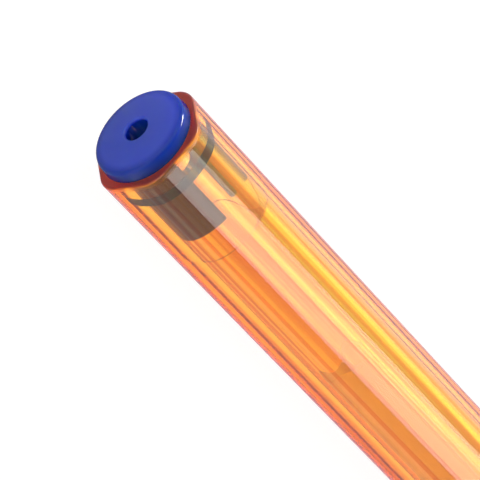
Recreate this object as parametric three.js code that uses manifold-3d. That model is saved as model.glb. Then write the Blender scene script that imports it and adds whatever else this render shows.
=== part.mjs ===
// Stick ballpoint pen with its cap on, lying along X with the rear plug at the -X end.
// Millimetres, +Z up. The origin is under the middle of the pen, on the surface it lies on.
// Inside each piece, x is the distance from the barrel's rear end towards the point.

import * as THREE from "three";
import { mergeVertices } from "three/addons/utils/BufferGeometryUtils.js";
import Module from "manifold-3d";

const wasm = await Module();
wasm.setup();

// Barrel: a six-sided tube with strongly rounded corners
const BARREL_LENGTH = 128;
const ACROSS_FLATS = 7.2;
const CORNER_ROUNDING = 1.75;
const RIM_CHAMFER_LENGTH = 0.25;
const RIM_CHAMFER_DEPTH = 0.3;
const FRONT_TAPER_LENGTH = 2.5;
const FRONT_END_DIAMETER = 6.6;
const BORE_DIAMETER = 4.8;
const PLUG_SEAT_DIAMETER = 5;
const PLUG_SEAT_DEPTH = 8.8;
const FRONT_SEAT_DIAMETER = 5;
const FRONT_SEAT_DEPTH = 12;
const BORE_LEAD_IN = 0.2;

// End plug: a crowned head, a sealing ring and a slotted stem, with a vent through all
const HEAD_DIAMETER = 6.56;
const HEAD_BAND = 0.55;
const HEAD_DRAFT = THREE.MathUtils.degToRad(6);
const HEAD_EDGE_RADIUS = 0.33;
const HEAD_CROWN_ANGLE = THREE.MathUtils.degToRad(10);
const VENT_DIAMETER = 1.64;
const VENT_LIP = 0.1;
const NECK_DIAMETER = 4.8;
const RING_START = 1.9;
const RING_WIDTH = 0.74;
const STEM_DIAMETER = 4.84;
const STEM_END = 6.8;
const STEM_END_CHAMFER = 0.3;
const STEM_SLOT_WIDTH = 2.1;
const STEM_SLOT_TURN = THREE.MathUtils.degToRad(-23);

// Ink tube and the ink left in it
const TUBE_DIAMETER = 3;
const TUBE_BORE = 2.2;
const TUBE_START = 24;
const TUBE_GRIP = 7;
const INK_START = 46;
const INK_MENISCUS = 0.5;

// Tip holder: a cone in front of the barrel, with a ringed spigot pressed inside it
const HOLDER_FLANGE_DIAMETER = 6.4;
const HOLDER_FLANGE_WIDTH = 0.8;
const HOLDER_NOSE_LENGTH = 9.5;
const HOLDER_NOSE_DIAMETER = 3.4;
const SPIGOT_LENGTH = 11.4;
const SPIGOT_RELIEF = 0.25;
const SPIGOT_RING_WIDTH = 1.2;
const SPIGOT_RING_COUNT = 3;
const FEED_PASSAGE_DIAMETER = 1.6;

// Point: a turned metal socket with the ball held in its lip
const POINT_DIAMETER = 2.3;
const POINT_GRIP = 4.6;
const POINT_NECK_LENGTH = 2;
const POINT_CONE_LENGTH = 3.6;
const POINT_LIP_DIAMETER = 1.2;
const POINT_FEED_DIAMETER = 0.5;
const BALL_DIAMETER = 1;
const BALL_PROUD = 0.3;

// Cap: a round sleeve over the nose and the front of the barrel, with a clip and an end vent
const CAP_LENGTH = 57.5;
const CAP_MOUTH_DIAMETER = 9.8;
const CAP_SHOULDER_DIAMETER = 9.4;
const CAP_END_DIAMETER = 6.8;
const CAP_END_ROUNDING = 0.9;
const CAP_MOUTH_ROUNDING = 0.3;
const CAP_END_WALL = 1.4;
const CAP_POINT_ROOM = 3.2;
const CAP_INNER_END_DIAMETER = 4.8;
const CAP_VENT_DIAMETER = 3;
const CAP_RIB_COUNT = 3;
const CAP_RIB_WIDTH = 1.2;
const CAP_RIB_LENGTH = 14;
const CAP_RIB_SETBACK = 3;
const CLIP_LENGTH = 40;
const CLIP_ROOT_LENGTH = 6;
const CLIP_ROOT_SINK = 0.3;
const CLIP_SETBACK = 1.5;
const CLIP_WIDTH = 4;
const CLIP_TAIL_WIDTH = 3;
const CLIP_TAIL_ROUNDING = 1.4;
const CLIP_THICKNESS = 1.5;
const CLIP_FILLET = 1;
const CLIP_SHOULDER = 7;
const CLIP_GAP = 1.2;
const CLIP_EDGE = 0.35;
const CLIP_NUB_SETBACK = 4.2;
const CLIP_NUB_RADIUS = 2.4;
const CLIP_NUB_GAP = 0.3;

// Clearances between pieces that fit, seat or slide
const PRESS_CLEARANCE = 0.03;
const SEAT_CLEARANCE = 0.03;
const BALL_CLEARANCE = 0.02;
const CAP_CORNER_CLEARANCE = 0.1;
const CAP_RIB_CLEARANCE = 0.06;
const CAP_STOP_CLEARANCE = 0.3;

// How far a cutting body reaches past what it cuts
const OVERCUT = 1;

// How finely round surfaces are cut
const SIDES = 60;
const FINE_SIDES = 36;
const CORNER_STEPS = 8;
const ARC_STEPS = 6;
const BALL_RINGS = 16;

// Sizes that follow from the ones above
const APOTHEM = ACROSS_FLATS / 2;
const CORNER_CENTRE = (APOTHEM - CORNER_ROUNDING) / Math.cos(Math.PI / 6);
const CORNER_REACH = CORNER_CENTRE + CORNER_ROUNDING;
const HEAD_EDGE_CENTRE = HEAD_DIAMETER / 2 - HEAD_BAND * Math.tan(HEAD_DRAFT) - HEAD_EDGE_RADIUS;
const HEAD_CROWN_START = HEAD_EDGE_CENTRE + HEAD_EDGE_RADIUS * Math.sin(HEAD_CROWN_ANGLE);
const HEAD_CROWN_RADIUS = HEAD_CROWN_START / Math.sin(HEAD_CROWN_ANGLE);
const HEAD_CROWN_HEIGHT = HEAD_CROWN_RADIUS * (1 - Math.cos(HEAD_CROWN_ANGLE));
const HEAD_SHOULDER = SEAT_CLEARANCE + HEAD_BAND + HEAD_EDGE_RADIUS * Math.cos(HEAD_CROWN_ANGLE);
const HEAD_CROWN_CENTRE = HEAD_CROWN_RADIUS - HEAD_SHOULDER - HEAD_CROWN_HEIGHT;
const VENT_MOUTH_RADIUS = VENT_DIAMETER / 2 + VENT_LIP;
const VENT_MOUTH_ANGLE = Math.asin(VENT_MOUTH_RADIUS / HEAD_CROWN_RADIUS);
const HEAD_HEIGHT = HEAD_CROWN_RADIUS * Math.cos(VENT_MOUTH_ANGLE) - HEAD_CROWN_CENTRE;
const HOLDER_START = BARREL_LENGTH + SEAT_CLEARANCE;
const HOLDER_END = HOLDER_START + HOLDER_NOSE_LENGTH;
const SPIGOT_END = HOLDER_START - SPIGOT_LENGTH;
const TUBE_END = SPIGOT_END + TUBE_GRIP;
const POINT_END = HOLDER_END + POINT_NECK_LENGTH + POINT_CONE_LENGTH;
const BALL_CENTRE = POINT_END + BALL_PROUD - BALL_DIAMETER / 2;
const BALL_TIP = POINT_END + BALL_PROUD;
const CAP_END = BALL_TIP + CAP_POINT_ROOM + CAP_END_WALL;
const CAP_MOUTH = CAP_END - CAP_LENGTH;
const CAP_BORE = CORNER_REACH + CAP_CORNER_CLEARANCE;
const REST_HEIGHT = CAP_MOUTH_DIAMETER / 2;
const MIDDLE = (CAP_END - HEAD_HEIGHT) / 2;

// Points of an arc from one angle to another, for a profile of [x, radius] points
function arc(x, radius, size, from, to, steps = ARC_STEPS) {
  return Array.from({ length: steps + 1 }, (_, i) => {
    const angle = from + ((to - from) * i) / steps;
    return [x + size * Math.cos(angle), radius + size * Math.sin(angle)];
  });
}

// A closed body from a geometry: shared corners merged and empty triangles left out
function solid(geometry) {
  const bare = geometry.index ? geometry.clone() : mergeVertices(geometry);
  bare.deleteAttribute("normal");
  bare.deleteAttribute("uv");
  const merged = mergeVertices(bare, 1e-5);
  const index = merged.index.array;
  const faces = [];
  for (let i = 0; i < index.length; i += 3) {
    const [a, b, c] = [index[i], index[i + 1], index[i + 2]];
    if (a !== b && b !== c && c !== a) faces.push(a, b, c);
  }
  const vertProperties = new Float32Array(merged.attributes.position.array);
  return new wasm.Manifold(new wasm.Mesh({ numProp: 3, vertProperties, triVerts: new Uint32Array(faces) }));
}

// The geometry of a finished body
function geometryOf(body) {
  const mesh = body.getMesh();
  const geometry = new THREE.BufferGeometry();
  geometry.setAttribute("position", new THREE.BufferAttribute(new Float32Array(mesh.vertProperties), 3));
  geometry.setIndex(new THREE.BufferAttribute(new Uint32Array(mesh.triVerts), 1));
  geometry.computeVertexNormals();
  return geometry;
}

// A body turned round the pen's axis from a closed profile of [x, radius] points
function revolve(profile, sides = SIDES) {
  const area = profile.reduce((sum, [x, r], i) => {
    const [nextX, nextR] = profile[(i + 1) % profile.length];
    return sum + x * nextR - nextX * r;
  }, 0);
  const ordered = area > 0 ? [...profile].reverse() : profile;
  const points = [...ordered, ordered[0]].map(([x, r]) => new THREE.Vector2(r, x));
  return solid(new THREE.LatheGeometry(points, sides).rotateZ(-Math.PI / 2));
}

// A body with one outline seen along X, from one x to another
function extrudeAlongPen(shape, from, to, curveSegments) {
  const options = { depth: to - from, bevelEnabled: false, curveSegments };
  const geometry = new THREE.ExtrudeGeometry(shape, options);
  const axes = new THREE.Matrix4().makeBasis(
    new THREE.Vector3(0, 1, 0),
    new THREE.Vector3(0, 0, 1),
    new THREE.Vector3(1, 0, 0)
  );
  return solid(geometry.applyMatrix4(axes).translate(from, 0, 0));
}

// The barrel's outline: six flats, one of them on top, joined by round corners
function roundedHexagon() {
  const shape = new THREE.Shape();
  for (let k = 0; k < 6; k += 1) {
    const middle = Math.PI / 3 * k;
    const x = CORNER_CENTRE * Math.cos(middle);
    const y = CORNER_CENTRE * Math.sin(middle);
    shape.absarc(x, y, CORNER_ROUNDING, middle - Math.PI / 6, middle + Math.PI / 6, false);
  }
  shape.closePath();
  return shape;
}

// The bar is joined from two lengths, so that its flats end at the cap's mouth as faces of their own
function barrel() {
  const outline = roundedHexagon();
  const seam = CAP_MOUTH - CAP_STOP_CLEARANCE;
  const open = extrudeAlongPen(outline, 0, seam, CORNER_STEPS);
  const capped = extrudeAlongPen(outline, seam, BARREL_LENGTH, CORNER_STEPS);
  const outside = revolve([
    [0, 0],
    [0, APOTHEM - RIM_CHAMFER_DEPTH],
    [RIM_CHAMFER_LENGTH, APOTHEM],
    [RIM_CHAMFER_LENGTH + CORNER_REACH - APOTHEM, CORNER_REACH + CAP_CORNER_CLEARANCE / 2],
    [BARREL_LENGTH - FRONT_TAPER_LENGTH, CORNER_REACH + CAP_CORNER_CLEARANCE / 2],
    [BARREL_LENGTH, FRONT_END_DIAMETER / 2],
    [BARREL_LENGTH, 0],
  ]);
  const bore = revolve([
    [-OVERCUT, 0],
    [-OVERCUT, PLUG_SEAT_DIAMETER / 2 + BORE_LEAD_IN],
    [0, PLUG_SEAT_DIAMETER / 2 + BORE_LEAD_IN],
    [BORE_LEAD_IN, PLUG_SEAT_DIAMETER / 2],
    [PLUG_SEAT_DEPTH, PLUG_SEAT_DIAMETER / 2],
    [PLUG_SEAT_DEPTH + BORE_LEAD_IN, BORE_DIAMETER / 2],
    [BARREL_LENGTH - FRONT_SEAT_DEPTH - BORE_LEAD_IN, BORE_DIAMETER / 2],
    [BARREL_LENGTH - FRONT_SEAT_DEPTH, FRONT_SEAT_DIAMETER / 2],
    [BARREL_LENGTH + OVERCUT, FRONT_SEAT_DIAMETER / 2],
    [BARREL_LENGTH + OVERCUT, 0],
  ]);
  return open.add(capped).intersect(outside).subtract(bore);
}

// A cutting body for the slot through the stem, from one x to another
function stemSlot(from, to) {
  const box = new THREE.BoxGeometry(to - from, STEM_SLOT_WIDTH, STEM_DIAMETER + OVERCUT);
  return solid(box.translate((from + to) / 2, 0, 0).rotateX(STEM_SLOT_TURN));
}

// The plug: a crowned head, a sealing ring, and a stem that a slot splits in two on both sides of the ring
function endPlug() {
  const headRadius = HEAD_DIAMETER / 2;
  const edgeX = -SEAT_CLEARANCE - HEAD_BAND;
  const edgeStart = Math.PI / 2 + HEAD_DRAFT;
  const crownEdge = Math.PI - HEAD_CROWN_ANGLE;
  const crownMouth = Math.PI - VENT_MOUTH_ANGLE;
  const vent = VENT_DIAMETER / 2;
  const neck = NECK_DIAMETER / 2;
  const ring = PLUG_SEAT_DIAMETER / 2 - PRESS_CLEARANCE;
  const ringEnd = RING_START + RING_WIDTH;
  const stem = STEM_DIAMETER / 2;
  const plug = revolve([
    [STEM_END, vent],
    [STEM_END, stem - STEM_END_CHAMFER],
    [STEM_END - STEM_END_CHAMFER, stem],
    [ringEnd, stem],
    [ringEnd, ring],
    [RING_START, ring],
    [RING_START, neck],
    [-SEAT_CLEARANCE, neck],
    [-SEAT_CLEARANCE, headRadius],
    ...arc(edgeX, HEAD_EDGE_CENTRE, HEAD_EDGE_RADIUS, edgeStart, crownEdge),
    ...arc(HEAD_CROWN_CENTRE, 0, HEAD_CROWN_RADIUS, crownEdge, crownMouth).slice(1),
    [VENT_LIP - HEAD_HEIGHT, vent],
  ]);
  const neckSlot = stemSlot(-SEAT_CLEARANCE, RING_START);
  const legSlot = stemSlot(ringEnd, STEM_END + OVERCUT);
  return plug.subtract(neckSlot).subtract(legSlot);
}

function inkTube() {
  return revolve([
    [TUBE_START, TUBE_BORE / 2],
    [TUBE_END, TUBE_BORE / 2],
    [TUBE_END, TUBE_DIAMETER / 2],
    [TUBE_START, TUBE_DIAMETER / 2],
  ], FINE_SIDES);
}

// The ink's rear surface is a hollow meniscus
function inkColumn() {
  const radius = TUBE_BORE / 2 - PRESS_CLEARANCE;
  const bowl = (radius * radius + INK_MENISCUS * INK_MENISCUS) / (2 * INK_MENISCUS);
  const half = Math.asin(radius / bowl);
  return revolve([
    ...arc(INK_START + INK_MENISCUS - bowl, 0, bowl, 0, half),
    [TUBE_END, radius],
    [TUBE_END, 0],
  ], FINE_SIDES);
}

function tipHolder() {
  const spigot = FRONT_SEAT_DIAMETER / 2 - PRESS_CLEARANCE;
  const relief = spigot - SPIGOT_RELIEF;
  const pitch = (SPIGOT_LENGTH - SPIGOT_RING_WIDTH) / (SPIGOT_RING_COUNT - 0.5);
  const rings = [];
  for (let i = 0; i < SPIGOT_RING_COUNT; i += 1) {
    const x = SPIGOT_END + i * pitch;
    const after = x + SPIGOT_RING_WIDTH;
    rings.push([x, relief], [x + SPIGOT_RELIEF, spigot], [after, spigot], [after, relief]);
  }
  const socket = TUBE_DIAMETER / 2 + PRESS_CLEARANCE;
  const feed = FEED_PASSAGE_DIAMETER / 2;
  const grip = POINT_DIAMETER / 2 + PRESS_CLEARANCE;
  return revolve([
    [SPIGOT_END, socket],
    ...rings,
    [HOLDER_START, relief],
    [HOLDER_START, HOLDER_FLANGE_DIAMETER / 2],
    [HOLDER_START + HOLDER_FLANGE_WIDTH, HOLDER_FLANGE_DIAMETER / 2],
    [HOLDER_END, HOLDER_NOSE_DIAMETER / 2],
    [HOLDER_END, grip],
    [HOLDER_END - POINT_GRIP - SEAT_CLEARANCE, grip],
    [HOLDER_END - POINT_GRIP - SEAT_CLEARANCE, feed],
    [TUBE_END + SEAT_CLEARANCE, feed],
    [TUBE_END + SEAT_CLEARANCE, socket],
  ], SIDES);
}

function point() {
  const radius = POINT_DIAMETER / 2;
  const feed = POINT_FEED_DIAMETER / 2;
  const cavity = BALL_DIAMETER / 2 + BALL_CLEARANCE;
  const back = Math.PI - Math.asin(feed / cavity);
  const front = Math.acos((POINT_END - BALL_CENTRE) / cavity);
  return revolve([
    [HOLDER_END - POINT_GRIP, feed],
    ...arc(BALL_CENTRE, 0, cavity, back, front, ARC_STEPS * 2),
    [POINT_END, POINT_LIP_DIAMETER / 2],
    [POINT_END - POINT_CONE_LENGTH, radius],
    [HOLDER_END - POINT_GRIP, radius],
  ], FINE_SIDES);
}

function ball() {
  const geometry = new THREE.SphereGeometry(BALL_DIAMETER / 2, BALL_RINGS * 2, BALL_RINGS);
  return solid(geometry.translate(BALL_CENTRE, 0, 0));
}

// The cap's outside radius at one place along the pen
function capRadius(x) {
  const shoulder = BARREL_LENGTH;
  if (x < shoulder) {
    const along = (x - CAP_MOUTH) / (shoulder - CAP_MOUTH);
    return THREE.MathUtils.lerp(CAP_MOUTH_DIAMETER, CAP_SHOULDER_DIAMETER, along) / 2;
  }
  const along = (x - shoulder) / (CAP_END - shoulder);
  return THREE.MathUtils.lerp(CAP_SHOULDER_DIAMETER, CAP_END_DIAMETER, along) / 2;
}

function capSleeve() {
  const mouth = CAP_MOUTH_DIAMETER / 2;
  const end = CAP_END_DIAMETER / 2;
  const vent = CAP_VENT_DIAMETER / 2;
  const stop = BARREL_LENGTH - FRONT_TAPER_LENGTH;
  const innerStop = FRONT_END_DIAMETER / 2 + CAP_STOP_CLEARANCE;
  const lip = CAP_MOUTH + CAP_MOUTH_ROUNDING;
  return revolve([
    [CAP_MOUTH, CAP_BORE + CAP_MOUTH_ROUNDING],
    ...arc(lip, mouth - CAP_MOUTH_ROUNDING, CAP_MOUTH_ROUNDING, Math.PI, Math.PI / 2),
    [BARREL_LENGTH, capRadius(BARREL_LENGTH)],
    ...arc(CAP_END - CAP_END_ROUNDING, end - CAP_END_ROUNDING, CAP_END_ROUNDING, Math.PI / 2, 0),
    [CAP_END, vent],
    [CAP_END - CAP_END_WALL, vent],
    [CAP_END - CAP_END_WALL, CAP_INNER_END_DIAMETER / 2],
    [BARREL_LENGTH + CAP_STOP_CLEARANCE, innerStop],
    [stop, CAP_BORE],
    [lip, CAP_BORE],
  ]);
}

// Ribs inside the cap that grip every other flat of the barrel
function capRibs() {
  const inner = APOTHEM + CAP_RIB_CLEARANCE;
  const outer = CAP_BORE + CAP_CORNER_CLEARANCE;
  const start = CAP_MOUTH + CAP_RIB_SETBACK;
  const rib = new THREE.Shape();
  rib.moveTo(start, outer);
  rib.lineTo(start + outer - inner, inner);
  rib.lineTo(start + CAP_RIB_LENGTH, inner);
  rib.lineTo(start + CAP_RIB_LENGTH + outer - inner, outer);
  rib.closePath();
  const options = { depth: CAP_RIB_WIDTH, bevelEnabled: false };
  return Array.from({ length: CAP_RIB_COUNT }, (_, i) => {
    const geometry = new THREE.ExtrudeGeometry(rib, options).translate(0, 0, -CAP_RIB_WIDTH / 2);
    return solid(geometry.rotateX(Math.PI / 2 + (i * 2 * Math.PI) / CAP_RIB_COUNT));
  });
}

// The clip's width at one place: it narrows evenly from root to tail, and its tail is round
function clipWidth(x, tail, root) {
  const along = THREE.MathUtils.clamp((x - tail) / (root - tail), 0, 1);
  const pastRounding = THREE.MathUtils.clamp((x - tail) / CLIP_TAIL_ROUNDING, 0, 1);
  const roundedOff = CLIP_TAIL_ROUNDING * (1 - Math.sqrt(1 - (1 - pastRounding) ** 2));
  return THREE.MathUtils.lerp(CLIP_TAIL_WIDTH, CLIP_WIDTH, along) - roundedOff;
}

// The clip: a root that grows out of the cap's cone, a long bar and a nub that presses on the pocket.
// Its outline is drawn inside the edge rounding, which the extrusion's bevel adds back.
function capClip() {
  const front = CAP_END - CLIP_SETBACK;
  const root = front - CLIP_ROOT_LENGTH;
  const tail = front - CLIP_LENGTH;
  const nub = tail + CLIP_NUB_SETBACK;
  const under = capRadius(BARREL_LENGTH) + CLIP_GAP;
  const top = under + CLIP_THICKNESS;
  const sunk = CLIP_EDGE + CLIP_ROOT_SINK;
  const nubHeight = capRadius(nub) + CLIP_NUB_GAP + CLIP_NUB_RADIUS;
  const nubSpread = Math.asin((nubHeight - under) / CLIP_NUB_RADIUS);
  const side = new THREE.Shape();
  side.moveTo(root, capRadius(root) - sunk);
  side.lineTo(root, under - CLIP_FILLET);
  side.quadraticCurveTo(root, under, root - CLIP_FILLET, under);
  side.absarc(nub, nubHeight, CLIP_NUB_RADIUS, -nubSpread, nubSpread - Math.PI, true);
  side.quadraticCurveTo(tail, under, tail, (under + top) / 2);
  side.quadraticCurveTo(tail, top, tail + CLIP_THICKNESS, top);
  side.lineTo(front - CLIP_SHOULDER, top);
  side.quadraticCurveTo(front - CLIP_EDGE, top, front - CLIP_EDGE, capRadius(front) - sunk);
  side.closePath();
  const options = {
    depth: CLIP_WIDTH - 2 * CLIP_EDGE,
    bevelEnabled: true,
    bevelThickness: CLIP_EDGE,
    bevelSize: CLIP_EDGE,
    bevelOffset: -CLIP_EDGE,
    bevelSegments: 2,
    curveSegments: ARC_STEPS,
  };
  const geometry = new THREE.ExtrudeGeometry(side, options).translate(0, 0, CLIP_EDGE - CLIP_WIDTH / 2);
  const corners = geometry.attributes.position;
  for (let i = 0; i < corners.count; i += 1) {
    const narrowing = clipWidth(corners.getX(i), tail, root) / CLIP_WIDTH;
    corners.setZ(i, corners.getZ(i) * narrowing);
  }
  return solid(geometry.rotateX(Math.PI / 2));
}

function cap() {
  return [...capRibs(), capClip()].reduce((body, piece) => body.add(piece), capSleeve());
}

function plastic(color, roughness, opacity = 1) {
  const transparent = opacity < 1;
  return new THREE.MeshStandardMaterial({ color, roughness, metalness: 0, opacity, transparent });
}

function metal(color, roughness) {
  return new THREE.MeshStandardMaterial({ color, roughness, metalness: 1 });
}

const amber = plastic(0xf29a3c, 0.12, 0.55);
const blue = plastic(0x2a36a8, 0.35);
const milky = plastic(0xe9e6dc, 0.4);
const clear = plastic(0xf2f2ee, 0.2, 0.5);
const ink = plastic(0x0b1450, 0.3);
const nickelSilver = metal(0xc9bf9f, 0.28);
const carbide = metal(0x8d8f94, 0.2);

const pieces = [
  ["barrel", barrel(), amber],
  ["end_plug", endPlug(), blue],
  ["ink_tube", inkTube(), clear],
  ["ink_column", inkColumn(), ink],
  ["tip_holder", tipHolder(), milky],
  ["point", point(), nickelSilver],
  ["ball", ball(), carbide],
  ["cap", cap(), blue],
];

const pen = new THREE.Group();
for (const [name, body, material] of pieces) {
  const mesh = new THREE.Mesh(geometryOf(body), material);
  mesh.name = name;
  pen.add(mesh);
}
pen.position.set(-MIDDLE, 0, REST_HEIGHT);

const group = new THREE.Group();
group.add(pen);

export default group;
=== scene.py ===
import math

import bpy
from mathutils import Matrix, Vector


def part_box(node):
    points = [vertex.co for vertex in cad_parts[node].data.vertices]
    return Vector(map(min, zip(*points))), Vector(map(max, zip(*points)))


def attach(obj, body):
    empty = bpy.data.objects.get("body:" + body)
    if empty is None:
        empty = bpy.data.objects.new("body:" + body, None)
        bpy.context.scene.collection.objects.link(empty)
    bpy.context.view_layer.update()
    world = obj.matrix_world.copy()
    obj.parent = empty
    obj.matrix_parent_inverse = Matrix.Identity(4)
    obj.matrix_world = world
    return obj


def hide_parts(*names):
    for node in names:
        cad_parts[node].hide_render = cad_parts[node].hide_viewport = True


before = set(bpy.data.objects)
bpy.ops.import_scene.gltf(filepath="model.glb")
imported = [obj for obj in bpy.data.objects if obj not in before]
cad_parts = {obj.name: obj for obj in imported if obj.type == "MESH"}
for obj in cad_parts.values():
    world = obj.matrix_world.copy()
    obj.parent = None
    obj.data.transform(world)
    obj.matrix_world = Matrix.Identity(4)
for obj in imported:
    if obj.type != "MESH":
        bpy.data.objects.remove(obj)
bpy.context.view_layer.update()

# The pen lies along X. Pieces are modelled in millimetres round the X axis, where x is the distance
# from the barrel's rear end, and are then placed in the frame.
MM = 0.001
barrel_low, barrel_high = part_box("barrel")
AXIS_HEIGHT = (barrel_low.z + barrel_high.z) / 2
PLACE = Matrix.Translation((barrel_low.x, 0, AXIS_HEIGHT)) @ Matrix.Scale(MM, 4)


def span(node):
    """A node's start and end along the pen and its width across, in millimetres."""
    low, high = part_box(node)
    return (low.x - barrel_low.x) / MM, (high.x - barrel_low.x) / MM, (high.y - low.y) / MM


# Barrel
BARREL_LENGTH = span("barrel")[1]
ACROSS_FLATS = (barrel_high.z - barrel_low.z) / MM
CORNER_ROUNDING = 1.75
CORNER_SEGMENTS = 24
CORNER_OVERHANG = 0.5
RIM_ROUNDING = 0.18
FRONT_TAPER_LENGTH = 2.5
FRONT_END_RADIUS = 3.3
BORE_RADIUS = 2.4
PLUG_SEAT_RADIUS = 2.5
PLUG_SEAT_DEPTH = 8.8
FRONT_SEAT_RADIUS = 2.5
FRONT_SEAT_DEPTH = 12
BORE_LEAD_IN = 0.2
SEAT_STEP_LENGTH = 0.03

# End plug
PLUG_START, STEM_END, HEAD_WIDTH = span("end_plug")
HEAD_BAND = 0.55
HEAD_DRAFT = 6
HEAD_EDGE_RADIUS = 0.33
HEAD_CROWN_ANGLE = 10
HEAD_SEAT = -0.03
VENT_RADIUS = 0.82
VENT_LIP = 0.1
NECK_RADIUS = 2.4
RING_START = 1.9
RING_WIDTH = 0.74
RING_BITE = 0.012
STEM_RADIUS = 2.42
STEM_END_ROUNDING = 0.4
STEM_BORE_RADIUS = 1.95
STEM_BORE_START = 0.5
STEM_SLOT_START = 0.4
STEM_SLOT_WIDTH = 2.1
STEM_SLOT_TURN = -23
NARROW_LEG_TRIM = 1.02
NARROW_LEG_TURN = -125

# Refill
TUBE_START, TUBE_END, TUBE_WIDTH = span("ink_tube")
TUBE_BORE_RADIUS = 1.1
INK_START = span("ink_column")[0]
INK_MENISCUS = 0.5
INK_BITE = 0.01

# Tip holder and point
HOLDER_START = BARREL_LENGTH + 0.03
SPIGOT_START, HOLDER_END, FLANGE_WIDTH = span("tip_holder")
SPIGOT_RADIUS = 2.47
SPIGOT_RELIEF = 0.25
SPIGOT_RING_WIDTH = 1.2
SPIGOT_RING_COUNT = 3
FLANGE_THICKNESS = 0.8
FLANGE_ROUNDING = 0.15
FLANGE_EDGE_END = 12
NOSE_END_RADIUS = 1.7
NOSE_ROUNDING = 0.25
NOSE_EDGE_START = 80
FEED_RADIUS = 0.8
POINT_START, POINT_END, POINT_WIDTH = span("point")
POINT_FEED_RADIUS = 0.25
POINT_SOCKET_ANGLE = 150
POINT_CONE_LENGTH = 3.6
POINT_CONE_END_LENGTH = 1
POINT_CONE_END_RADIUS = 0.8
POINT_LIP_LENGTH = 0.9
POINT_LIP_START_RADIUS = 0.72
POINT_LIP_RADIUS = 0.6
POINT_LIP_EDGE_LENGTH = 0.05
POINT_LIP_EDGE_DEPTH = 0.04
POINT_GROOVE = 0.12
POINT_GROOVE_SETBACK = 0.7
BALL_START, BALL_END, BALL_WIDTH = span("ball")
SEAT_CLEARANCE = 0.03
BALL_CLEARANCE = 0.02

# Cap
CAP_MOUTH, CAP_END, _ = span("cap")
CAP_MOUTH_RADIUS = 4.9
CAP_SHOULDER_RADIUS = 4.7
CAP_END_RADIUS = 3.4
CAP_END_ROUNDING = 0.9
CAP_MOUTH_ROUNDING = 0.3
CAP_SHOULDER_BLEND = 1.5
CAP_END_WALL = 1.4
CAP_BORE_RADIUS = 3.986
CAP_INNER_END_RADIUS = 2.4
CAP_VENT_RADIUS = 1.5
CAP_VENT_LIP = 0.2
CAP_STOP_CLEARANCE = 0.3
CAP_RIB_COUNT = 3
CAP_RIB_WIDTH = 1.2
CAP_RIB_LENGTH = 14
CAP_RIB_SETBACK = 3
CAP_RIB_CLEARANCE = 0.06
CAP_RIB_SINK = 0.1
CLIP_LENGTH = 40
CLIP_ROOT_LENGTH = 6
CLIP_ROOT_SINK = 0.3
CLIP_SETBACK = 1.5
CLIP_WIDTH = 4
CLIP_TAIL_WIDTH = 3
CLIP_TAIL_ROUNDING = 1.4
CLIP_THICKNESS = 1.5
CLIP_FILLET = 1
CLIP_SHOULDER = 7
CLIP_GAP = 1.2
CLIP_EDGE = 0.35
CLIP_NUB_SETBACK = 4.2
CLIP_NUB_RADIUS = 2.4
CLIP_NUB_GAP = 0.3

# How far a cutting shape reaches past what it cuts, and how close points are merged
OVERCUT = 1
MERGE_DISTANCE = 1e-4

# Camera, in millimetres
CAMERA_PLACE = (-204.9238, -25.2085, 177.9180)
CAMERA_FORWARD = (0.63137, 0.11154, -0.76742)
CAMERA_UP = (-0.56228, 0.74736, -0.35397)
CAMERA_SENSOR = 36
CAMERA_LENS = 267.914

# Light and floor, in metres and as brightness
LIGHT_DISTANCE = 0.8
FLOOR_SIZE = 3
FLOOR_COLOUR = (0.3, 0.3, 0.3, 1)
FLOOR_SEEN = 0.8
FLOOR_REFLECTED = 0.15
FLOOR_THROUGH_PLASTIC = 1.2
SKY_HORIZON = 1.0
SKY_OVERHEAD = 0.1

# How finely round shapes are cut
TURNED_SIDES = 160
BALL_SIDES = 48
ARC_STEPS = 8
BALL_STEPS = 3 * ARC_STEPS
SHOULDER_STEPS = 12
BEVEL_SEGMENTS = 6
SMOOTH_ANGLE = 30


def deselect_all():
    bpy.ops.object.select_all(action="DESELECT")


def arc(x, radius, size, start, end, steps=ARC_STEPS):
    """Points of an arc, for a profile of (x, radius) points. Angles are in degrees."""
    angles = [math.radians(start + (end - start) * i / steps) for i in range(steps + 1)]
    return [(x + size * math.cos(a), radius + size * math.sin(a)) for a in angles]


def curve(start, control, end, steps=ARC_STEPS):
    """Points of a curve that leaves its start towards a control point and comes from it to its end."""
    points = []
    for i in range(steps + 1):
        along = i / steps
        first = Vector(start).lerp(Vector(control), along)
        points.append(first.lerp(Vector(control).lerp(Vector(end), along), along)[:])
    return points


def close_shell():
    """In edit mode, merges what lies together and turns the faces outwards."""
    bpy.ops.mesh.select_all(action="SELECT")
    bpy.ops.mesh.remove_doubles(threshold=MERGE_DISTANCE)
    bpy.ops.mesh.normals_make_consistent(inside=False)


def draw(name, outline):
    """A wire through (x, height) points in the XZ plane, drawn point by point, left in edit mode."""
    deselect_all()
    bpy.ops.mesh.primitive_circle_add(vertices=3, radius=1)
    piece = bpy.context.object
    piece.name = name
    bpy.ops.object.mode_set(mode="EDIT")
    bpy.ops.mesh.select_mode(type="VERT")
    bpy.ops.mesh.select_all(action="SELECT")
    bpy.ops.mesh.merge(type="CENTER")
    bpy.ops.transform.translate(value=(outline[0][0], 0, outline[0][1]))
    for (x, height), (next_x, next_height) in zip(outline, outline[1:]):
        step = (next_x - x, 0, next_height - height)
        bpy.ops.mesh.extrude_region_move(TRANSFORM_OT_translate={"value": step})
    return piece


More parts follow.
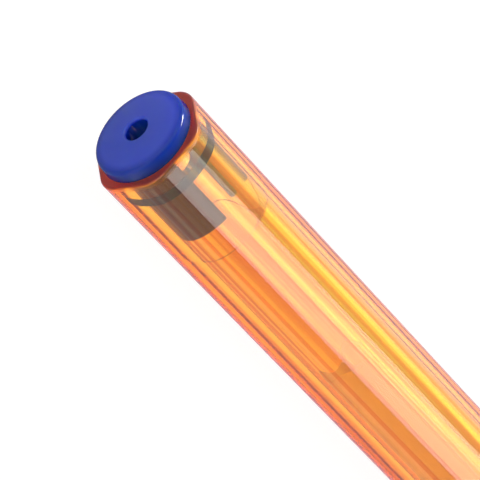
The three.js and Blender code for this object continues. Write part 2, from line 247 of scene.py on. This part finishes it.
def turned(name, profile, sides=TURNED_SIDES):
    """A piece turned on the pen's axis. A profile that doesn't start on the axis closes on itself."""
    ring = profile[0][1] > MERGE_DISTANCE
    piece = draw(name, profile + profile[:1] if ring else profile)
    bpy.ops.mesh.select_all(action="SELECT")
    bpy.ops.mesh.remove_doubles(threshold=MERGE_DISTANCE)
    bpy.ops.mesh.spin(steps=sides, angle=2 * math.pi, center=(0, 0, 0), axis=(1, 0, 0))
    close_shell()
    bpy.ops.object.mode_set(mode="OBJECT")
    return piece


def slab(name, outline, width):
    """A plate with an (x, height) outline, as thick as its width and centred on the XZ plane."""
    piece = draw(name, outline + outline[:1])
    bpy.ops.mesh.select_all(action="SELECT")
    bpy.ops.mesh.remove_doubles(threshold=MERGE_DISTANCE)
    bpy.ops.mesh.select_all(action="SELECT")
    bpy.ops.mesh.edge_face_add()
    bpy.ops.transform.translate(value=(0, -width / 2, 0))
    bpy.ops.mesh.extrude_region_move(TRANSFORM_OT_translate={"value": (0, width, 0)})
    close_shell()
    bpy.ops.object.mode_set(mode="OBJECT")
    return piece


def turn_about_axis(piece, degrees):
    piece.data.transform(Matrix.Rotation(math.radians(degrees), 4, "X"))


def modify(piece, kind, **settings):
    """Adds a modifier to a piece and applies it."""
    deselect_all()
    bpy.context.view_layer.objects.active = piece
    piece.select_set(True)
    modifier = piece.modifiers.new(kind.lower(), kind)
    for setting, value in settings.items():
        setattr(modifier, setting, value)
    bpy.ops.object.modifier_apply(modifier=modifier.name)


def combine(piece, tool, operation):
    """Joins, cuts or intersects a piece with another, which is used up."""
    modify(piece, "BOOLEAN", object=tool, operation=operation, solver="EXACT")
    bpy.data.objects.remove(tool)


def round_edges(piece, radius, angle):
    """Rounds the edges whose faces turn by more than an angle in degrees."""
    modify(
        piece, "BEVEL", width=radius, segments=BEVEL_SEGMENTS,
        limit_method="ANGLE", angle_limit=math.radians(angle),
    )


def smooth(piece):
    """Shades a piece smooth between its sharp edges, with its flats kept flat."""
    deselect_all()
    bpy.context.view_layer.objects.active = piece
    piece.select_set(True)
    bpy.ops.object.shade_smooth_by_angle(angle=math.radians(SMOOTH_ANGLE))
    modify(piece, "WEIGHTED_NORMAL", keep_sharp=True)


def finish_piece(piece, material, body, node):
    """Places a piece in the frame and lets it stand for its CAD node."""
    piece.data.transform(PLACE)
    piece.data.materials.clear()
    piece.data.materials.append(material)
    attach(piece, body)
    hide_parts(node)


def hexagonal_bar():
    """The barrel's bar before it is bored: six flats with one on top, round corners and a round rim."""
    corner_centre = (ACROSS_FLATS / 2 - CORNER_ROUNDING) / math.cos(math.radians(30))
    outline = []
    for middle in range(0, 360, 60):
        across = corner_centre * math.cos(math.radians(middle))
        height = corner_centre * math.sin(math.radians(middle))
        outline += arc(across, height, CORNER_ROUNDING, middle - 30, middle + 30, CORNER_SEGMENTS)
    length = BARREL_LENGTH + OVERCUT
    bar = slab("amber_barrel", outline, length)
    quarter_turn = Matrix.Rotation(math.radians(90), 4, "Z")
    bar.data.transform(Matrix.Translation((length / 2, 0, 0)) @ quarter_turn)
    round_edges(bar, RIM_ROUNDING, 60)
    return bar


def barrel():
    bar = hexagonal_bar()
    beyond = ACROSS_FLATS / 2 + CORNER_OVERHANG
    outside = turned("outside", [
        (-OVERCUT, 0),
        (-OVERCUT, beyond),
        (BARREL_LENGTH - FRONT_TAPER_LENGTH, beyond),
        (BARREL_LENGTH, FRONT_END_RADIUS),
        (BARREL_LENGTH, 0),
    ])
    bore = turned("bore", [
        (-OVERCUT, 0),
        (-OVERCUT, PLUG_SEAT_RADIUS + BORE_LEAD_IN),
        (0, PLUG_SEAT_RADIUS + BORE_LEAD_IN),
        (BORE_LEAD_IN, PLUG_SEAT_RADIUS),
        (PLUG_SEAT_DEPTH, PLUG_SEAT_RADIUS),
        (PLUG_SEAT_DEPTH + SEAT_STEP_LENGTH, BORE_RADIUS),
        (BARREL_LENGTH - FRONT_SEAT_DEPTH - BORE_LEAD_IN, BORE_RADIUS),
        (BARREL_LENGTH - FRONT_SEAT_DEPTH, FRONT_SEAT_RADIUS),
        (BARREL_LENGTH + OVERCUT, FRONT_SEAT_RADIUS),
        (BARREL_LENGTH + OVERCUT, 0),
    ])
    combine(bar, outside, "INTERSECT")
    combine(bar, bore, "DIFFERENCE")
    smooth(bar)
    return bar


def plug_head():
    """The head: its band narrows outwards, its face is crowned and the vent opens in the middle."""
    head_radius = HEAD_WIDTH / 2
    edge = HEAD_SEAT - HEAD_BAND
    edge_centre = head_radius - HEAD_BAND * math.tan(math.radians(HEAD_DRAFT)) - HEAD_EDGE_RADIUS
    crown_start = edge_centre + HEAD_EDGE_RADIUS * math.sin(math.radians(HEAD_CROWN_ANGLE))
    crown_radius = crown_start / math.sin(math.radians(HEAD_CROWN_ANGLE))
    crown_top = edge - HEAD_EDGE_RADIUS * math.cos(math.radians(HEAD_CROWN_ANGLE))
    crown_centre = crown_top + crown_radius * math.cos(math.radians(HEAD_CROWN_ANGLE))
    vent_angle = math.degrees(math.asin((VENT_RADIUS + VENT_LIP) / crown_radius))
    return turned("blue_plug", [
        (HEAD_SEAT, VENT_RADIUS),
        (HEAD_SEAT, head_radius),
        *arc(edge, edge_centre, HEAD_EDGE_RADIUS, 90 + HEAD_DRAFT, 180 - HEAD_CROWN_ANGLE),
        *arc(crown_centre, 0, crown_radius, 180 - HEAD_CROWN_ANGLE, 180 - vent_angle)[1:],
        (PLUG_START + VENT_LIP, VENT_RADIUS),
    ])


def stem_cut(low, high, width, turn):
    """A cutting plate along the stem, between two heights before it is turned about the pen's axis."""
    start, end = STEM_SLOT_START, STEM_END + OVERCUT
    plate = slab("plate", [(start, low), (start, high), (end, high), (end, low)], width)
    turn_about_axis(plate, turn)
    return plate


def plug_legs():
    """The hollow stem behind the head. A slot leaves a half-round leg and, opposite it, a narrow one."""
    start = HEAD_SEAT - HEAD_BAND / 2
    ring_middle = RING_START + RING_WIDTH / 2
    end_turn = STEM_END - STEM_END_ROUNDING
    legs = turned("legs", [
        (start, VENT_RADIUS),
        (start, NECK_RADIUS),
        (ring_middle, NECK_RADIUS),
        (ring_middle, STEM_RADIUS),
        *arc(end_turn, STEM_RADIUS - STEM_END_ROUNDING, STEM_END_ROUNDING, 90, 0),
        (STEM_END, STEM_BORE_RADIUS),
        (STEM_BORE_START, STEM_BORE_RADIUS),
        (STEM_BORE_START, VENT_RADIUS),
    ])
    beyond = STEM_RADIUS + OVERCUT
    combine(legs, stem_cut(-beyond, beyond, STEM_SLOT_WIDTH, STEM_SLOT_TURN), "DIFFERENCE")
    combine(legs, stem_cut(NARROW_LEG_TRIM, beyond, 2 * beyond, NARROW_LEG_TURN), "DIFFERENCE")
    return legs


def end_plug():
    plug = plug_head()
    ring = turned("ring", [
        (RING_START + RING_WIDTH, STEM_BORE_RADIUS),
        (RING_START + RING_WIDTH, PLUG_SEAT_RADIUS + RING_BITE),
        (RING_START, PLUG_SEAT_RADIUS + RING_BITE),
        (RING_START, STEM_BORE_RADIUS),
    ])
    legs = plug_legs()
    combine(legs, ring, "UNION")
    combine(plug, legs, "UNION")
    smooth(plug)
    return plug


def ink_tube():
    tube = turned("refill_tube", [
        (TUBE_START, TUBE_BORE_RADIUS),
        (TUBE_END, TUBE_BORE_RADIUS),
        (TUBE_END, TUBE_WIDTH / 2),
        (TUBE_START, TUBE_WIDTH / 2),
    ])
    smooth(tube)
    return tube


def ink():
    radius = TUBE_BORE_RADIUS + INK_BITE
    bowl = (radius ** 2 + INK_MENISCUS ** 2) / (2 * INK_MENISCUS)
    half = math.degrees(math.asin(radius / bowl))
    column = turned("ink", [
        *arc(INK_START + INK_MENISCUS - bowl, 0, bowl, 0, half),
        (TUBE_END, radius),
        (TUBE_END, 0),
    ])
    smooth(column)
    return column


def tip_holder():
    """The nose cone and its ringed spigot, with the sockets for the ink tube and the point."""
    relief = SPIGOT_RADIUS - SPIGOT_RELIEF
    pitch = (HOLDER_START - SPIGOT_START - SPIGOT_RING_WIDTH) / (SPIGOT_RING_COUNT - 0.5)
    rings = []
    for i in range(SPIGOT_RING_COUNT):
        x = SPIGOT_START + i * pitch
        after = x + SPIGOT_RING_WIDTH
        rings += [
            (x, relief),
            (x + SPIGOT_RELIEF, SPIGOT_RADIUS),
            (after, SPIGOT_RADIUS),
            (after, relief),
        ]
    flange_edge = FLANGE_WIDTH / 2 - FLANGE_ROUNDING
    flange_end = HOLDER_START + FLANGE_THICKNESS - FLANGE_ROUNDING
    nose_end = HOLDER_END - NOSE_ROUNDING
    nose_edge = NOSE_END_RADIUS - NOSE_ROUNDING
    socket = TUBE_WIDTH / 2
    grip = POINT_WIDTH / 2
    holder = turned("tip_holder_piece", [
        (SPIGOT_START, socket),
        *rings,
        (HOLDER_START, relief),
        *arc(HOLDER_START + FLANGE_ROUNDING, flange_edge, FLANGE_ROUNDING, 180, 90),
        *arc(flange_end, flange_edge, FLANGE_ROUNDING, 90, FLANGE_EDGE_END),
        *arc(nose_end, nose_edge, NOSE_ROUNDING, NOSE_EDGE_START, 0),
        (HOLDER_END, grip),
        (POINT_START - SEAT_CLEARANCE, grip),
        (POINT_START - SEAT_CLEARANCE, FEED_RADIUS),
        (TUBE_END + SEAT_CLEARANCE, FEED_RADIUS),
        (TUBE_END + SEAT_CLEARANCE, socket),
    ])
    smooth(holder)
    return holder


def metal_point():
    radius = POINT_WIDTH / 2
    ball_radius = BALL_WIDTH / 2
    centre = BALL_START + ball_radius
    socket = ball_radius + BALL_CLEARANCE
    lip_angle = math.degrees(math.acos((POINT_END - centre) / socket))
    cone_start = POINT_END - POINT_CONE_LENGTH
    groove = HOLDER_END + POINT_GROOVE_SETBACK
    tip = turned("metal_point", [
        (POINT_START, POINT_FEED_RADIUS),
        *arc(centre, 0, socket, POINT_SOCKET_ANGLE, lip_angle),
        (POINT_END, POINT_LIP_RADIUS - POINT_LIP_EDGE_DEPTH),
        (POINT_END - POINT_LIP_EDGE_LENGTH, POINT_LIP_RADIUS),
        (POINT_END - POINT_LIP_LENGTH, POINT_LIP_START_RADIUS),
        (POINT_END - POINT_CONE_END_LENGTH, POINT_CONE_END_RADIUS),
        (cone_start, radius),
        (groove + 3 * POINT_GROOVE, radius),
        (groove + 2 * POINT_GROOVE, radius - POINT_GROOVE),
        (groove + POINT_GROOVE, radius - POINT_GROOVE),
        (groove, radius),
        (POINT_START, radius),
    ])
    smooth(tip)
    return tip


def writing_ball():
    radius = BALL_WIDTH / 2
    outline = arc(BALL_START + radius, 0, radius, 180, 0, BALL_STEPS)
    ball = turned("writing_ball", outline, BALL_SIDES)
    smooth(ball)
    return ball


def cap_radius(x):
    """The cap's outside radius at one place along the pen."""
    if x < BARREL_LENGTH:
        along = (x - CAP_MOUTH) / (BARREL_LENGTH - CAP_MOUTH)
        return CAP_MOUTH_RADIUS + (CAP_SHOULDER_RADIUS - CAP_MOUTH_RADIUS) * along
    along = (x - BARREL_LENGTH) / (CAP_END - BARREL_LENGTH)
    return CAP_SHOULDER_RADIUS + (CAP_END_RADIUS - CAP_SHOULDER_RADIUS) * along


def cap_sleeve():
    stop = BARREL_LENGTH - FRONT_TAPER_LENGTH
    lip = CAP_MOUTH + CAP_MOUTH_ROUNDING
    end_turn = CAP_END - CAP_END_ROUNDING
    cone_angle = math.degrees(math.atan2(CAP_SHOULDER_RADIUS - CAP_END_RADIUS, CAP_END - BARREL_LENGTH))
    blend_start = BARREL_LENGTH - CAP_SHOULDER_BLEND
    blend_end = BARREL_LENGTH + CAP_SHOULDER_BLEND
    return turned("cap_piece", [
        (CAP_MOUTH, CAP_BORE_RADIUS + CAP_MOUTH_ROUNDING),
        *arc(lip, CAP_MOUTH_RADIUS - CAP_MOUTH_ROUNDING, CAP_MOUTH_ROUNDING, 180, 90),
        *curve(
            (blend_start, cap_radius(blend_start)),
            (BARREL_LENGTH, CAP_SHOULDER_RADIUS),
            (blend_end, cap_radius(blend_end)),
        ),
        *arc(end_turn, CAP_END_RADIUS - CAP_END_ROUNDING, CAP_END_ROUNDING, 90 - cone_angle, 0),
        *arc(CAP_END - CAP_VENT_LIP, CAP_VENT_RADIUS + CAP_VENT_LIP, CAP_VENT_LIP, 0, -90),
        (CAP_END - CAP_END_WALL, CAP_VENT_RADIUS),
        (CAP_END - CAP_END_WALL, CAP_INNER_END_RADIUS),
        (BARREL_LENGTH + CAP_STOP_CLEARANCE, FRONT_END_RADIUS + CAP_STOP_CLEARANCE),
        (stop, CAP_BORE_RADIUS),
        (lip, CAP_BORE_RADIUS),
    ])


def cap_rib(turn):
    """A rib inside the cap, which presses on one flat of the barrel."""
    inner = ACROSS_FLATS / 2 + CAP_RIB_CLEARANCE
    outer = CAP_BORE_RADIUS + CAP_RIB_SINK
    start = CAP_MOUTH + CAP_RIB_SETBACK
    rib = slab("rib", [
        (start, outer),
        (start + outer - inner, inner),
        (start + CAP_RIB_LENGTH, inner),
        (start + CAP_RIB_LENGTH + outer - inner, outer),
    ], CAP_RIB_WIDTH)
    turn_about_axis(rib, turn)
    return rib


def cap_clip():
    """The clip: side outline crossed with its plan outline, then rounded along its edges."""
    front = CAP_END - CLIP_SETBACK
    root = front - CLIP_ROOT_LENGTH
    tail = front - CLIP_LENGTH
    nub = tail + CLIP_NUB_SETBACK
    under = CAP_SHOULDER_RADIUS + CLIP_GAP
    top = under + CLIP_THICKNESS
    middle = (under + top) / 2
    nub_height = cap_radius(nub) + CLIP_NUB_GAP + CLIP_NUB_RADIUS
    spread = math.degrees(math.asin((nub_height - under) / CLIP_NUB_RADIUS))
    sunk = cap_radius(front) - CLIP_ROOT_SINK
    clip = slab("clip", [
        (root, cap_radius(root) - CLIP_ROOT_SINK),
        *arc(root - CLIP_FILLET, under - CLIP_FILLET, CLIP_FILLET, 0, 90),
        *arc(nub, nub_height, CLIP_NUB_RADIUS, -spread, spread - 180, 2 * ARC_STEPS),
        *curve((tail + middle - under, under), (tail, under), (tail, middle)),
        *curve((tail, middle), (tail, top), (tail + CLIP_THICKNESS, top))[1:],
        *curve((front - CLIP_SHOULDER, top), (front, top), (front, sunk), SHOULDER_STEPS),
    ], CLIP_WIDTH + OVERCUT)
    half_root, half_tail = CLIP_WIDTH / 2, CLIP_TAIL_WIDTH / 2
    corner = CLIP_TAIL_ROUNDING
    plan = slab("plan", [
        (front + OVERCUT, -half_root),
        (front + OVERCUT, half_root),
        *arc(tail + corner, half_tail - corner, corner, 90, 180),
        *arc(tail + corner, corner - half_tail, corner, 180, 270),
    ], 4 * top)
    turn_about_axis(plan, 90)
    combine(clip, plan, "INTERSECT")
    round_edges(clip, CLIP_EDGE, 40)
    return clip


def cap():
    sleeve = cap_sleeve()
    for i in range(CAP_RIB_COUNT):
        combine(sleeve, cap_rib(360 * i / CAP_RIB_COUNT), "UNION")
    combine(sleeve, cap_clip(), "UNION")
    smooth(sleeve)
    return sleeve


class Value:
    """A shader socket that can be used in Python arithmetic, which adds the Math nodes."""

    def __init__(self, finish, socket):
        self.finish = finish
        self.socket = socket

    def math(self, operation, *others):
        return self.finish.add("ShaderNodeMath", "Value", [self, *others], operation=operation)

    def __add__(self, other):
        return self.math("ADD", other)

    def __mul__(self, other):
        return self.math("MULTIPLY", other)

    def __sub__(self, other):
        return self.math("SUBTRACT", other)

    def __rsub__(self, other):
        return self.finish.add("ShaderNodeMath", "Value", [other, self], operation="SUBTRACT")

    __radd__ = __add__
    __rmul__ = __mul__


class Finish:
    """One node material, built node by node."""

    def __init__(self, name):
        self.material = bpy.data.materials.new(name)
        self.material.use_nodes = True
        self.tree = self.material.node_tree
        self.tree.nodes.clear()
        self.output = self.tree.nodes.new("ShaderNodeOutputMaterial")

    def add(self, kind, output, inputs, **settings):
        """Adds a node with its settings and its sockets' values or links, and gives one output."""
        node = self.tree.nodes.new(kind)
        for setting, value in settings.items():
            setattr(node, setting, value)
        pairs = inputs.items() if isinstance(inputs, dict) else enumerate(inputs)
        for key, value in pairs:
            if isinstance(value, Value):
                self.tree.links.new(value.socket, node.inputs[key])
            else:
                node.inputs[key].default_value = value
        return Value(self, node.outputs[output])

    def place(self, stretch=(1, 1, 1)):
        """Object coordinates in millimetres, each multiplied by its stretch."""
        coordinates = self.add("ShaderNodeTexCoord", "Object", {})
        scale = [s / MM for s in stretch]
        return self.add("ShaderNodeMapping", "Vector", {"Vector": coordinates, "Scale": scale})

    def place_along(self, axis):
        """One object coordinate in millimetres."""
        return self.add("ShaderNodeSeparateXYZ", axis, [self.place()])

    def fade(self, value, start, end, low, high):
        """A smooth change from low to high while the value goes from start to end."""
        return self.add("ShaderNodeMapRange", "Result", {
            "Value": value, "From Min": start, "From Max": end, "To Min": low, "To Max": high,
        }, interpolation_type="SMOOTHSTEP")

    def mix(self, factor, first, second):
        """A colour between two colours, which are linear red, green and blue or sockets."""
        first, second = ((*c, 1) if isinstance(c, tuple) else c for c in (first, second))
        return self.add("ShaderNodeMix", 2, {0: factor, 6: first, 7: second}, data_type="RGBA")

    def from_rear(self):
        """The distance from the barrel's rear end in millimetres."""
        return self.place_along("X") - barrel_low.x / MM

    def noise(self, stretch, scale, detail=2.0):
        """A soft pattern, stretched along an axis where its stretch is small."""
        inputs = {"Vector": self.place(stretch), "Scale": scale, "Detail": detail}
        return self.add("ShaderNodeTexNoise", "Fac", inputs)

    def bump(self, height, depth):
        """Bumps of a depth in millimetres."""
        inputs = {"Height": height, "Distance": depth * MM, "Strength": 1.0}
        return self.add("ShaderNodeBump", "Normal", inputs)

    def surface(self, **inputs):
        """The Principled shader, with spaces in its sockets' names written as underscores."""
        named = {key.replace("_", " "): value for key, value in inputs.items()}
        shader = self.add("ShaderNodeBsdfPrincipled", "BSDF", named)
        self.tree.links.new(shader.socket, self.output.inputs["Surface"])
        return self.material

    def absorb(self, colour, density):
        """Light is lost on its way through the material, in proportion to the distance in metres."""
        inputs = {"Color": (*colour, 1), "Density": density}
        volume = self.add("ShaderNodeVolumeAbsorption", "Volume", inputs)
        self.tree.links.new(volume.socket, self.output.inputs["Volume"])


def amber_plastic():
    """Clear amber with streaks. One side is painted lighter, as light falling on it; the rim is frosted
    and painted bright orange as a highlight; the end face is painted dark red as shade; a faint glow and
    a pink sheen are painted light.
    """
    finish = Finish("amber_polystyrene")
    along = finish.from_rear()
    # Painted light: the amber is made lighter and yellower towards +Y, the side the light falls on.
    painted_light_side = finish.fade(finish.place_along("Y"), -1, 2.5, 0, 1)
    light = finish.mix(painted_light_side, (0.87, 0.69, 0.42), (1, 1, 0.56))
    deep = finish.mix(painted_light_side, (0.7, 0.3, 0.18), (0.96, 0.56, 0.26))
    fine_streaks = finish.noise((0.006, 1, 1), 2)
    body = finish.mix(finish.fade(fine_streaks, 0.5, 0.56, 0, 1), light, deep)
    # Painted highlight: near the rim the colour turns bright orange, standing for light caught by the
    # rounded rim.
    rim = finish.fade(along, 0.35, 0.6, 1, 0)
    # Painted shade: the barrel's end face under the head is painted dark red.
    end_face_painted_shade = finish.fade(along, 0.03, 0.12, 1, 0)
    wall = finish.mix(rim, body, (1, 0.5, 0.1))
    colour = finish.mix(end_face_painted_shade, wall, (0.45, 0.08, 0.06))
    streaks = finish.noise((0.02, 1, 1), 2.5)
    finish.absorb((0.99, 0.82, 0.0), 1000)
    return finish.surface(
        Base_Color=colour,
        Roughness=finish.fade(along, 0.3, 0.45, 0.35, 0.02),
        IOR=1.45,
        Transmission_Weight=0.94,
        # Painted light: the faint red glow and the pink sheen stand for light scattered inside the wall,
        # which shows at its edges.
        Emission_Color=(1, 0.3, 0.25, 1),
        Emission_Strength=0.022,
        Sheen_Weight=1.0,
        Sheen_Roughness=0.34,
        Sheen_Tint=(1, 0.66, 0.9, 1),
        Normal=finish.bump(streaks, 0.0015),
    )


def blue_plastic():
    """Blue painted lighter on the head's face and darker on the head's edge, as light and shade; the cap
    has the darker blue too.
    """
    finish = Finish("blue_polypropylene")
    grain = finish.noise((1, 1, 1), 6)
    # Painted light and shade: the head's face is a lighter blue and its edge, turned away from the
    # light, a darker blue.
    face = finish.fade(finish.from_rear(), -0.98, -0.86, 1, 0)
    return finish.surface(
        Base_Color=finish.mix(face, (0.002, 0.03, 0.27), (0.042, 0.078, 0.5)),
        Roughness=grain * 0.08 + 0.1,
        IOR=1.5,
        Subsurface_Weight=1.0,
        Subsurface_Scale=0.003,
        Subsurface_Radius=(0.05, 0.15, 1.0),
        Normal=finish.bump(grain, 0.002),
    )


def clear_plastic():
    finish = Finish("clear_polypropylene")
    draw_marks = finish.noise((0.02, 1, 1), 4)
    return finish.surface(
        Base_Color=(0.97, 0.97, 0.95, 1),
        Roughness=0.3,
        IOR=1.1,
        Alpha=0.5,
        Transmission_Weight=0.95,
        Normal=finish.bump(draw_marks, 0.002),
    )


def blue_ink():
    finish = Finish("blue_ink")
    film = finish.noise((0.2, 1, 1), 2)
    return finish.surface(
        Base_Color=(0.004, 0.01, 0.12, 1),
        Roughness=film * 0.1 + 0.1,
        IOR=1.4,
    )


def milky_plastic():
    finish = Finish("milky_polypropylene")
    grain = finish.noise((1, 1, 1), 5)
    return finish.surface(
        Base_Color=(0.8, 0.78, 0.7, 1),
        Roughness=grain * 0.1 + 0.3,
        IOR=1.49,
        Subsurface_Weight=0.3,
        Subsurface_Scale=0.001,
        Normal=finish.bump(grain, 0.003),
    )


def turned_metal(name, colour):
    finish = Finish(name)
    rings = finish.noise((1, 0.05, 0.05), 14, 4)
    return finish.surface(
        Base_Color=(*colour, 1),
        Metallic=1.0,
        Roughness=rings * 0.15 + 0.2,
        Normal=finish.bump(rings, 0.002),
    )


def camera_place(location, forward, up):
    """The matrix of a camera at a place that looks along forward."""
    forward = Vector(forward).normalized()
    right = forward.cross(Vector(up)).normalized()
    turned_axes = Matrix((right, right.cross(forward), -forward)).transposed()
    return Matrix.Translation(Vector(location) * MM) @ turned_axes.to_4x4()


def add_camera():
    data = bpy.data.cameras.new("camera")
    camera = bpy.data.objects.new("camera", data)
    bpy.context.scene.collection.objects.link(camera)
    camera.matrix_world = camera_place(CAMERA_PLACE, CAMERA_FORWARD, CAMERA_UP)
    data.sensor_width = CAMERA_SENSOR
    data.lens = CAMERA_LENS
    data.clip_start = 0.01
    data.clip_end = 10
    bpy.context.scene.camera = camera


def add_softbox(name, direction, width, height, energy):
    """A soft light that shines on the pen from one side, in metres and watts."""
    data = bpy.data.lights.new(name, "AREA")
    data.shape = "RECTANGLE"
    data.size = width
    data.size_y = height
    data.energy = energy
    light = bpy.data.objects.new(name, data)
    bpy.context.scene.collection.objects.link(light)
    direction = Vector(direction).normalized()
    light.location = direction * LIGHT_DISTANCE
    light.rotation_euler = direction.to_track_quat("Z", "Y").to_euler()
    return light


def add_lights():
    """Two softboxes whose reflections show on the pen, and two that only light it."""
    add_softbox("veil", (0.631, 0.11, 0.767), 0.16, 0.4, 0.95)
    add_softbox("glint", (-0.08, 0.99, 0.15), 0.1, 0.4, 7.0)
    right = add_softbox("right", (0.631, 0.5, 0.6), 0.2, 0.3, 2.0)
    fill = add_softbox("fill", (-0.75, -0.3, 0.6), 0.5, 0.5, 3.0)
    for light in (right, fill):
        light.visible_glossy = False


def add_floor():
    """A plain pale floor that takes the pen's shadow. It glows, so that it looks white."""
    bpy.ops.mesh.primitive_plane_add(size=FLOOR_SIZE)
    floor = bpy.context.object
    floor.name = "floor"
    finish = Finish("floor")
    rays = finish.tree.nodes.new("ShaderNodeLightPath")
    camera, glossy, passed = (
        Value(finish, rays.outputs[kind])
        for kind in ("Is Camera Ray", "Is Glossy Ray", "Is Transmission Ray")
    )
    paint = finish.add("ShaderNodeBsdfDiffuse", "BSDF", {"Color": FLOOR_COLOUR})
    strength = camera * FLOOR_SEEN + glossy * FLOOR_REFLECTED + passed * FLOOR_THROUGH_PLASTIC
    white = {"Color": (1, 1, 1, 1), "Strength": strength}
    glow = finish.add("ShaderNodeEmission", "Emission", white)
    both = finish.add("ShaderNodeAddShader", "Shader", [paint, glow])
    finish.tree.links.new(both.socket, finish.output.inputs["Surface"])
    floor.data.materials.append(finish.material)


def add_world():
    """White round the horizon and dimmer overhead."""
    world = bpy.data.worlds.new("world")
    bpy.context.scene.world = world
    world.use_nodes = True
    tree = world.node_tree
    background = tree.nodes["Background"]
    background.inputs["Color"].default_value = (1, 1, 1, 1)
    direction = tree.nodes.new("ShaderNodeTexCoord")
    axes = tree.nodes.new("ShaderNodeSeparateXYZ")
    fade = tree.nodes.new("ShaderNodeMapRange")
    fade.inputs["From Min"].default_value = 0.0
    fade.inputs["From Max"].default_value = 1.0
    fade.inputs["To Min"].default_value = SKY_HORIZON
    fade.inputs["To Max"].default_value = SKY_OVERHEAD
    tree.links.new(direction.outputs["Generated"], axes.inputs["Vector"])
    tree.links.new(axes.outputs["Z"], fade.inputs["Value"])
    tree.links.new(fade.outputs["Result"], background.inputs["Strength"])


add_camera()
add_lights()
add_floor()
add_world()
bpy.context.scene.view_settings.view_transform = "Standard"

blue = blue_plastic()
nickel_silver = turned_metal("nickel_silver", (0.72, 0.66, 0.5))
carbide = turned_metal("ball_carbide", (0.5, 0.5, 0.52))

finish_piece(barrel(), amber_plastic(), "pen", "barrel")
finish_piece(end_plug(), blue, "pen", "end_plug")
finish_piece(ink_tube(), clear_plastic(), "pen", "ink_tube")
finish_piece(ink(), blue_ink(), "pen", "ink_column")
finish_piece(tip_holder(), milky_plastic(), "pen", "tip_holder")
finish_piece(metal_point(), nickel_silver, "pen", "point")
finish_piece(writing_ball(), carbide, "ball", "ball")
finish_piece(cap(), blue, "cap", "cap")
